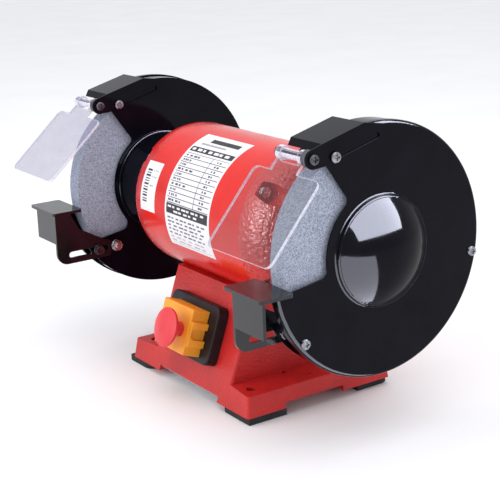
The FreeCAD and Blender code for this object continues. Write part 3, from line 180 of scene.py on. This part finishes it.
def grain(tree, scale, detail=3.0, kind="ShaderNodeTexNoise"):
    """Noise, or cells of another kind, in Object coordinates."""
    where = tree.nodes.new("ShaderNodeTexCoord")
    texture = tree.nodes.new(kind)
    texture.inputs["Scale"].default_value = scale
    if "Detail" in texture.inputs:
        texture.inputs["Detail"].default_value = detail
    tree.links.new(where.outputs["Object"], texture.inputs["Vector"])
    return texture.outputs["Distance" if "Distance" in texture.outputs else "Fac"]


def blend_colours(tree, factor, stops):
    """Colour ramp: stops are (position, colour)."""
    ramp = tree.nodes.new("ShaderNodeValToRGB")
    while len(ramp.color_ramp.elements) < len(stops):
        ramp.color_ramp.elements.new(0.5)
    for element, (position, colour) in zip(ramp.color_ramp.elements, stops):
        element.position = position
        element.color = (*colour, 1.0)
    tree.links.new(factor, ramp.inputs["Fac"])
    return ramp.outputs["Color"]


NOISE_LOW, NOISE_HIGH = 0.3, 0.7      # where nearly all of a noise texture lies


def spread(tree, factor, low, high):
    """Map a noise texture to a range of numbers."""
    node_map = tree.nodes.new("ShaderNodeMapRange")
    for key, value in (("From Min", NOISE_LOW), ("From Max", NOISE_HIGH),
                       ("To Min", low), ("To Max", high)):
        node_map.inputs[key].default_value = value
    tree.links.new(factor, node_map.inputs["Value"])
    return node_map.outputs["Result"]


def lift(tree, shader, height, distance, strength=1.0, under=None):
    """Bump the surface by a texture; distance is in metres."""
    bump = tree.nodes.new("ShaderNodeBump")
    bump.inputs["Distance"].default_value = distance
    bump.inputs["Strength"].default_value = strength
    tree.links.new(height, bump.inputs["Height"])
    if under is not None:
        tree.links.new(under, bump.inputs["Normal"])
    tree.links.new(bump.outputs["Normal"], shader.inputs["Normal"])
    return bump.outputs["Normal"]


# %% [markdown]
# ## Enamel
# The castings are brushed with thick red enamel over a sand-cast skin, so they show an
# orange-peel surface; the rolled tube is smooth. Guards are pressed sheet in gloss black.

# %% Mix the enamels
def enamel(name, dark, light, rough, peel_scale, peel_depth, coat, specular=0.5):
    """Gloss paint: cloudy colour, uneven gloss and an orange-peel surface."""
    made, tree, shader = finish(name, light, rough, Coat_Weight=coat, Coat_Roughness=0.08,
                                Specular_IOR_Level=specular)
    cloud = grain(tree, 22.0, 4.0)
    tree.links.new(blend_colours(tree, cloud, ((0.3, dark), (0.7, light))),
                   shader.inputs["Base Color"])
    tree.links.new(spread(tree, grain(tree, 60.0, 4.0), rough - 0.05, rough + 0.08),
                   shader.inputs["Roughness"])
    first = lift(tree, shader, grain(tree, peel_scale, 2.0), peel_depth)
    skin = lift(tree, shader, grain(tree, peel_scale * 4.5, 2.0), peel_depth * 0.12, 1.0, first)
    tree.links.new(skin, shader.inputs["Coat Normal"])
    return made


def sheet_black(name, rough, specular):
    """Thin gloss black on pressed sheet: almost no colour, faint long waves, worn gloss."""
    made, tree, shader = finish(name, (0.003, 0.003, 0.006), rough, Specular_IOR_Level=specular)
    tree.links.new(blend_colours(tree, grain(tree, 30.0, 4.0), (
        (0.3, (0.002, 0.002, 0.0045)), (0.7, (0.004, 0.004, 0.008)))), shader.inputs["Base Color"])
    tree.links.new(spread(tree, grain(tree, 45.0, 5.0), rough - 0.02, rough + 0.05),
                   shader.inputs["Roughness"])
    lift(tree, shader, grain(tree, 14.0, 1.0), 0.0004, 0.35)
    return made


red_cast = enamel("red_cast_enamel", (0.50, 0.012, 0.012), (0.64, 0.020, 0.018), 0.26, 270.0,
                  0.0020, 0.5, 0.3)
red_base = enamel("red_base_enamel", (0.44, 0.012, 0.012), (0.60, 0.022, 0.020), 0.34, 520.0,
                  0.0006, 0.12, 0.3)
red_smooth = enamel("red_smooth_enamel", (0.50, 0.014, 0.014), (0.62, 0.022, 0.020), 0.24, 60.0,
                    0.00025, 0.2, 0.35)
red_sheet = enamel("red_sheet_enamel", (0.60, 0.014, 0.012), (0.72, 0.020, 0.014), 0.20, 40.0,
                   0.00012, 0.12, 0.22)
black_sheet = sheet_black("black_sheet_enamel", 0.06, 0.09)
rest_coat = enamel("rest_powder_coat", (0.004, 0.004, 0.006), (0.009, 0.009, 0.013), 0.16, 500.0,
                   0.00008, 0.1)
print("enamels", red_cast.name, red_sheet.name, black_sheet.name, rest_coat.name)

# %% [markdown]
# ## Abrasive
# A vitrified wheel is grit in a glassy bond: pale and dark grains about half a millimetre
# across, with pores between. A Voronoi pattern gives each grain its own grey.

# %% Mix the abrasive
def abrasive(name):
    """Bonded grit: each cell takes one grey and stands a little higher or lower."""
    made, tree, shader = finish(name, (0.27, 0.29, 0.39), 0.85, Specular_IOR_Level=0.2)
    cells = grain(tree, 1500.0, kind="ShaderNodeTexVoronoi").node
    speck = tree.nodes.new("ShaderNodeSeparateColor")
    tree.links.new(cells.outputs["Color"], speck.inputs["Color"])
    colour = blend_colours(tree, speck.outputs["Red"], (
        (0.0, (0.06, 0.07, 0.12)), (0.30, (0.15, 0.17, 0.25)), (0.65, (0.24, 0.27, 0.36)),
        (1.0, (0.52, 0.56, 0.68))))
    tree.links.new(colour, shader.inputs["Base Color"])
    lift(tree, shader, speck.outputs["Green"], 0.0004, 0.6)
    return made


wheel_grit = abrasive("abrasive_grit")

# %% [markdown]
# ## Metals, rubber and plastics
# Small metal parts are zinc plated or blackened steel with fine turning marks; the plastics are
# moulded, with a faint texture; the feet are matt rubber.

# %% Mix the metals, rubber and plastics
def metal(name, dark, light, rough, scale=500.0):
    """Worked metal: faint colour change and fine scratches that break the gloss."""
    made, tree, shader = finish(name, light, rough, Metallic=1.0)
    tree.links.new(blend_colours(tree, grain(tree, 160.0, 4.0), ((0.3, dark), (0.7, light))),
                   shader.inputs["Base Color"])
    tree.links.new(spread(tree, grain(tree, scale, 3.0), rough - 0.06, rough + 0.12),
                   shader.inputs["Roughness"])
    lift(tree, shader, grain(tree, scale * 2.0, 2.0), 0.00003)
    return made


def moulded(name, dark, light, rough, depth=0.00003, scale=1600.0, **more):
    """Moulded plastic or rubber: a fine spark texture and slightly uneven colour."""
    made, tree, shader = finish(name, light, rough, **more)
    tree.links.new(blend_colours(tree, grain(tree, 70.0, 3.0), ((0.3, dark), (0.7, light))),
                   shader.inputs["Base Color"])
    tree.links.new(spread(tree, grain(tree, 300.0, 3.0), rough - 0.05, rough + 0.07),
                   shader.inputs["Roughness"])
    lift(tree, shader, grain(tree, scale, 2.0), depth)
    return made


zinc = metal("zinc_plate", (0.55, 0.56, 0.58), (0.72, 0.73, 0.76), 0.22)
blackened = metal("black_oxide_steel", (0.06, 0.06, 0.07), (0.16, 0.16, 0.18), 0.26)
screw_plate = metal("screw_plate", (0.20, 0.20, 0.22), (0.42, 0.42, 0.46), 0.18)
turned_steel = metal("turned_steel", (0.45, 0.46, 0.48), (0.60, 0.61, 0.63), 0.28)
laminated = metal("laminated_steel", (0.22, 0.22, 0.23), (0.34, 0.34, 0.36), 0.45)
copper = metal("enamelled_copper", (0.42, 0.16, 0.07), (0.60, 0.27, 0.13), 0.35)
cast_aluminium = metal("cast_aluminium", (0.55, 0.56, 0.58), (0.70, 0.71, 0.72), 0.40)
rubber = moulded("foot_rubber", (0.008, 0.008, 0.009), (0.018, 0.018, 0.020), 0.75)
black_plastic = moulded("switch_black", (0.007, 0.006, 0.008), (0.013, 0.012, 0.015), 0.38,
                        Specular_IOR_Level=0.3)
yellow_plastic = moulded("flap_yellow", (0.84, 0.32, 0.018), (0.92, 0.38, 0.025), 0.42)
red_plastic = moulded("button_red", (0.66, 0.022, 0.035), (0.74, 0.032, 0.048), 0.40)
green_plastic = moulded("button_green", (0.03, 0.30, 0.08), (0.05, 0.38, 0.11), 0.36)
card = moulded("washer_card", (0.36, 0.32, 0.26), (0.46, 0.42, 0.35), 0.85)
print("metals and plastics mixed")

# %% [markdown]
# ## Clear shields
# The shields are clear polycarbonate. Real glass would need light bounced through it to show
# its edges; a sheet is easier to control as two finishes. The faces are nearly invisible, with
# a faint haze, and the cut rim and the tube gather light and look milky. Paper and ink for the
# labels are mixed here too.

# %% Mix the clear plastic
def clear_face(name, tint, haze):
    """Face of a clear sheet: gloss over almost nothing, hazier where hands have rubbed it."""
    made, tree, shader = finish(name, tint, 0.06, Alpha=haze)
    tree.links.new(spread(tree, grain(tree, 60.0, 6.0), haze * 0.94, haze * 1.06),
                   shader.inputs["Alpha"])
    tree.links.new(spread(tree, grain(tree, 90.0, 5.0), 0.03, 0.12), shader.inputs["Roughness"])
    return made


def milky_rim_and_glint(name):
    """Cut edge of a clear sheet: milky, with saw marks across it; the milky white is partly a
    painted highlight of the light the edge gathers.
    """
    made, tree, shader = finish(name, (0.86, 0.84, 0.95), 0.25, Alpha=0.66)
    tree.links.new(spread(tree, grain(tree, 500.0, 3.0), 0.50, 0.80), shader.inputs["Alpha"])
    lift(tree, shader, grain(tree, 900.0, 2.0), 0.00008)
    return made


face_right = clear_face("clear_face_right", (0.10, 0.10, 0.11), 0.15)
face_left = clear_face("clear_face_left", (0.30, 0.29, 0.42), 0.36)
# Partly painted highlight: the rim finish's milky white stands for the light that the cut edge and
# the tube gather.
rim_milk_and_glint = milky_rim_and_glint("milky_rim_and_glint")
paper = moulded("label_paper", (0.76, 0.75, 0.79), (0.82, 0.81, 0.84), 0.45)
ink = moulded("label_ink", (0.012, 0.012, 0.016), (0.025, 0.025, 0.032), 0.5)
grey_ink = moulded("label_grey_ink", (0.06, 0.06, 0.07), (0.10, 0.10, 0.12), 0.5)
pale_ink = moulded("label_pale_ink", (0.30, 0.30, 0.34), (0.40, 0.40, 0.44), 0.5)

# %% [markdown]
# ## Dress the nodes
# Nodes whose CAD shape is right keep it, and only their material slot changes.

# %% Give every node its finish
WEARS = {
    red_cast: ["end_bell_right"],
    red_smooth: ["end_bell_left"],
    red_base: ["base_casting"],
    red_sheet: ["motor_tube"],
    black_sheet: ["guard_plate_right", "guard_plate_left", "guard_cover_right",
                  "guard_cover_left", "guard_hub_right", "guard_hub_left",
                  "shield_bracket_right", "shield_bracket_left"],
    rest_coat: ["tool_rest_right", "tool_rest_left"],
    wheel_grit: ["wheel_right", "wheel_left"],
    zinc: ["cradle_bolts", "tie_bolts", "tie_bolt_nuts", "bearing_balls", "arbor_nut_right",
           "arbor_nut_left", "guard_bolts", "guard_stay_bolts", "base_bottom_plate",
           "bottom_plate_screws", "rest_nuts"],
    screw_plate: ["cover_screws", "bracket_screws"],
    blackened: ["shield_pivot_right", "shield_pivot_left", "rest_bolts"],
    turned_steel: ["arbor_shaft", "bearing_outer_races", "bearing_inner_races",
                   "bearing_preload_washer", "inner_flange_right", "inner_flange_left",
                   "outer_flange_right", "outer_flange_left", "flap_hinge_pin"],
    laminated: ["stator_core", "rotor_core"],
    copper: ["stator_windings"],
    cast_aluminium: ["rotor_end_rings", "run_capacitor"],
    rubber: ["rubber_feet"],
    black_plastic: ["switch_housing", "terminal_block", "cable_gland"],
    yellow_plastic: ["switch_flap"],
    red_plastic: ["mushroom_button", "off_button"],
    green_plastic: ["on_button"],
    card: ["wheel_blotters"],
    face_right: ["eye_shield_right"],
    face_left: ["eye_shield_left"],
    paper: ["data_label", "serial_label"],
}
for look, names in WEARS.items():
    for name in names:
        node[name].data.materials.clear()
        node[name].data.materials.append(look)
print("bare nodes", sorted(set(node) - {n for names in WEARS.values() for n in names}))

# %% [markdown]
# ## Finer copies
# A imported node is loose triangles, so its edges are razor sharp and its curves show facets.
# Merging the doubles of a copy, joining what is flat and rounding the sharp edges by a few
# tenths of a millimetre gives each pressed or cast edge the thin line of light it really has.
# Weighted normals keep the flats flat beside the rounds.

# %% Round the edges of the visible pieces
record = frame["record"]
body_of = {n: body for body, names in record["behaviour"]["bodies"].items() for n in names}


def seat(piece, *names):
    """Let a new piece stand for CAD nodes: it rides on their body, and the nodes are hidden."""
    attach(piece, body_of[names[0]])
    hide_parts(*names)


def dressed(name, width, sharp=32.0):
    """Merged copy of a node; edges turning more than sharp degrees are rounded by width mm."""
    shape = bmesh.new()
    shape.from_mesh(node[name].data)
    bmesh.ops.remove_doubles(shape, verts=shape.verts, dist=2e-6)
    bmesh.ops.dissolve_limit(shape, angle_limit=math.radians(0.3), verts=shape.verts,
                             edges=shape.edges, delimit={"NORMAL"})
    bmesh.ops.recalc_face_normals(shape, faces=shape.faces)
    mesh = bpy.data.meshes.new(name + "_dressed")
    shape.to_mesh(mesh)
    shape.free()
    mesh.polygons.foreach_set("use_smooth", np.ones(len(mesh.polygons), dtype=bool))
    mesh.set_sharp_from_angle(angle=math.radians(sharp))
    mesh.materials.append(node[name].data.materials[0])
    piece = bpy.data.objects.new(name + "_dressed", mesh)
    bpy.context.scene.collection.objects.link(piece)
    if width > 0.0:
        bevel = piece.modifiers.new("edge", "BEVEL")
        bevel.width = width / 1000.0
        bevel.segments = 2
        bevel.limit_method = "ANGLE"
        bevel.angle_limit = math.radians(sharp)
        bevel.use_clamp_overlap = True
        bevel.harden_normals = True
    weigh = piece.modifiers.new("flats", "WEIGHTED_NORMAL")
    weigh.keep_sharp = True
    seat(piece, name)
    return piece


EDGES = {
    0.25: ["guard_plate_right", "guard_plate_left"],
    0.45: ["shield_bracket_right", "shield_bracket_left"],
    0.30: ["guard_cover_right", "guard_cover_left", "guard_hub_right", "guard_hub_left",
           "rest_nuts", "rest_bolts", "tie_bolts", "tie_bolt_nuts", "cover_screws",
           "bracket_screws", "shield_pivot_right", "shield_pivot_left", "guard_stay_bolts"],
    0.50: ["motor_tube", "tool_rest_right", "tool_rest_left", "switch_flap", "arbor_nut_right",
           "arbor_nut_left", "off_button", "on_button"],
    0.80: ["base_casting", "end_bell_right", "end_bell_left", "switch_housing", "rubber_feet"],
    0.0: ["mushroom_button", "cable_gland"],
}
fine = {name: dressed(name, width) for width, names in EDGES.items() for name in names}
for name in ("guard_cover_right", "guard_hub_right", "guard_hub_left"):
    gloss_black.objects.link(fine[name])
gloss_cast.objects.link(fine["end_bell_right"])

# %% [markdown]
# ## Wheels
# A vitrified wheel is a plain ring with its corners dressed off. A surface of revolution needs
# only a profile and an angle: each profile point (x, r) becomes a circle round the shaft, and
# the grid closes on itself both ways, so there is no seam.

# %% Turn the two wheels
WHEEL_BORE = 0.008
WHEEL_CORNER = 0.0009
WHEEL_STEPS = 192


def turned_ring(name, profile, turns):
    """Closed ring: point (i, j) lies at x_i, r_i cos a_j, r_i sin a_j from the shaft."""
    profile = np.asarray(profile)
    angles = np.linspace(0.0, 2.0 * math.pi, turns, endpoint=False)
    rows, columns = len(profile), turns
    x = np.repeat(profile[:, 0], columns)
    r = np.repeat(profile[:, 1], columns)
    a = np.tile(angles, rows)
    places = np.stack([x, r * np.cos(a), r * np.sin(a) + SHAFT.z], axis=1)
    i = np.arange(rows)[:, None]
    j = np.arange(columns)[None, :]
    after_i, after_j = (i + 1) % rows, (j + 1) % columns
    quads = np.stack([(i * columns + j), (after_i * columns + j),
                      (after_i * columns + after_j), (i * columns + after_j)], axis=2)
    mesh = bpy.data.meshes.new(name)
    mesh.from_pydata(places.tolist(), [], quads.reshape(-1, 4).tolist())
    mesh.polygons.foreach_set("use_smooth", np.ones(len(mesh.polygons), dtype=bool))
    mesh.set_sharp_from_angle(angle=math.radians(40.0))
    piece = bpy.data.objects.new(name, mesh)
    bpy.context.scene.collection.objects.link(piece)
    return piece


def wheel_profile(low, high, bore, rim, dressed_by):
    """Section of a wheel, from the bore round the rim, whose two corners are quarter rounds."""
    bend = np.linspace(0.0, math.pi / 2.0, 7)
    right = np.stack([high - dressed_by + dressed_by * np.cos(bend),
                      rim - dressed_by + dressed_by * np.sin(bend)], axis=1)
    left = np.stack([low + dressed_by - dressed_by * np.cos(bend),
                     rim - dressed_by + dressed_by * np.sin(bend)], axis=1)[::-1]
    return np.concatenate([[[low, bore], [high, bore]], right, left])


for side in ("right", "left"):
    name = "wheel_" + side
    low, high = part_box(name)
    rim = (high[1] - low[1]) / 2.0
    ring = turned_ring("abrasive_" + side,
                       wheel_profile(low[0], high[0], WHEEL_BORE, rim, WHEEL_CORNER), WHEEL_STEPS)
    ring.data.materials.append(wheel_grit)
    seat(ring, name)
    print(name, "radius mm", round(1000.0 * rim, 2), "faces", len(ring.data.polygons))

# %% [markdown]
# ## Shields in two finishes
# The shield is a flat sheet with a tube and lugs. Each face of the merged copy is sorted by
# which way it looks: along the sheet's own normal it is a clear face, otherwise it is rim.

# %% Split the shields into faces and rim
def clear_shield(name, face_look, rim_look):
    """Merged copy of a shield whose faces off the sheet's main normal wear the rim finish."""
    piece = dressed(name, 0.4)
    mesh = piece.data
    count = len(mesh.polygons)
    normals = np.empty(count * 3)
    areas = np.empty(count)
    mesh.polygons.foreach_get("normal", normals)
    mesh.polygons.foreach_get("area", areas)
    normals = normals.reshape(-1, 3)
    main = normals[int(np.argmax(areas))]
    off = np.abs(normals @ main) < 0.9
    mesh.materials.clear()
    mesh.materials.append(face_look)
    mesh.materials.append(rim_look)
    mesh.polygons.foreach_set("material_index", off.astype(np.int32))
    return piece


for name, look in (("eye_shield_right", face_right), ("eye_shield_left", face_left)):
    shield = clear_shield(name, look, rim_milk_and_glint)
    print(shield.name, "faces", len(shield.data.polygons))

# %% [markdown]
# ## Print on the labels
# A rating plate is ruled rows between dark bands. The marks here are generic: bands, rules and
# dashes where letters would be, so nothing can be read. Every mark is a small patch of the
# cylinder just above the paper, given by a span along the shaft and a span of angle.

# %% Lay the ink on the labels
def printed(name, marks, look, radius, label):
    """Patches of a cylinder: point (i, j) is at x_i and angle a_j, radius from the shaft."""
    places = []
    faces = []
    for x0, x1, a0, a1 in marks:
        steps = max(2, int(abs(a1 - a0) / 1.5) + 1)
        x, a = np.meshgrid(np.array([x0, x1]), np.radians(np.linspace(a0, a1, steps)))
        x, a = x.ravel() / 1000.0, a.ravel()
        patch = np.stack([x, -radius * np.cos(a), radius * np.sin(a) + SHAFT.z], axis=1)
        first = len(places)
        places.extend(patch.tolist())
        row = np.arange(steps - 1)[:, None] * 2 + first
        faces.extend(np.concatenate([row, row + 1, row + 3, row + 2], axis=1).tolist())
    mesh = bpy.data.meshes.new(name)
    mesh.from_pydata(places, [], faces)
    mesh.materials.append(look)
    piece = bpy.data.objects.new(name, mesh)
    bpy.context.scene.collection.objects.link(piece)
    film = piece.modifiers.new("film", "SOLIDIFY")
    film.thickness = 0.00005
    film.offset = 1.0
    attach(piece, body_of[label])
    return piece


def dashes(x0, x1, angle, height, cuts):
    """Dashes of uneven length between two x, as a printed line of small words would look."""
    marks = []
    x = x0
    for k in range(cuts):
        long = (x1 - x0) / cuts * (0.45 + 0.4 * ((7 * k + int(angle * 3)) % 5) / 4.0)
        marks.append((x, x + long, angle, angle - height))
        x += (x1 - x0) / cuts
    return marks


INK_RADIUS = 0.07522        # the paper lies from 75.0 to 75.2 mm from the middle of the shaft
OVERPRINT = 0.00008         # how far pale marks stand above a dark band
BAND = (-38.0, 38.0)        # the span of a full-width band or rule along the shaft, in mm
rows = np.linspace(51.5, 10.5, 11)
bands = [(*BAND, 58.5, 53.5), (*BAND, 9.5, 1.8), (*BAND, 51.6, 51.2)]
rules = [(*BAND, a, a - 0.55) for a in rows[1:]] + [(10.5, 11.3, 51.2, 10.4)]
words = []
for a in rows[:-1]:
    words += dashes(-36.0, -18.0 + 10.0 * math.sin(a), a - 1.5, 1.6, 4)
    words += dashes(20.0, 29.0, a - 1.5, 1.6, 2)
header = [(-20.0, 30.0, 70.0, 65.5)]
small = []
for k, a in enumerate((-0.8, -3.8, -6.8, -9.8, -13.0)):
    small += dashes(-36.0, 34.0 - 6.0 * (k % 2), a, 1.2, 9 - k % 3)
notes = (dashes(-36.0, 30.0, -16.5, 1.0, 6) + dashes(-36.0, 34.0, -19.5, 1.0, 5)
         + [(-30.0, 14.0, 63.5, 61.6), (-36.0, 36.0, -22.0, -22.3)])
reversed_words = (dashes(-35.0, 34.0, 7.9, 1.5, 8) + dashes(-24.0, 22.0, 4.8, 1.5, 5)
                  + dashes(-35.0, 33.0, 57.2, 2.4, 7))
printed("data_label_bands", bands + rules + header, ink, INK_RADIUS, "data_label")
printed("data_label_words", words + small, grey_ink, INK_RADIUS, "data_label")
printed("data_label_notes", notes, pale_ink, INK_RADIUS, "data_label")
printed("data_label_reversed", reversed_words, paper, INK_RADIUS + OVERPRINT, "data_label")
stripes = [(-86.0, -77.5, a, a - wide) for a, wide in (
    (30.0, 1.5), (27.3, 0.7), (25.6, 1.6), (22.8, 0.8), (20.9, 0.8), (18.9, 1.5), (16.0, 0.7),
    (14.2, 1.4), (11.6, 0.8), (9.8, 1.5), (6.9, 0.8), (5.2, 1.2))]
serial_words = (dashes(-75.0, -65.0, 30.0, 1.2, 3) + dashes(-75.0, -65.0, 25.0, 1.2, 3)
                + dashes(-75.0, -67.0, 18.0, 1.2, 2))
printed("serial_label_stripes", stripes, ink, INK_RADIUS, "serial_label")
printed("serial_label_words", serial_words, pale_ink, INK_RADIUS, "serial_label")
print("marks", len(bands + rules + words + small + stripes))

# %% [markdown]
# ## Floor finish
# The floor is white laminate with the faintest cloud in it and no gloss, so it stays plain.

# %% Finish the floor
pale, tree, shader = finish("pale_floor", (0.90, 0.90, 0.91), 0.7, Specular_IOR_Level=0.0)
tree.links.new(blend_colours(tree, grain(tree, 6.0, 3.0), ((0.3, (0.89, 0.89, 0.90)),
               (0.7, (0.92, 0.92, 0.93)))), shader.inputs["Base Color"])
floor.data.materials.append(pale)
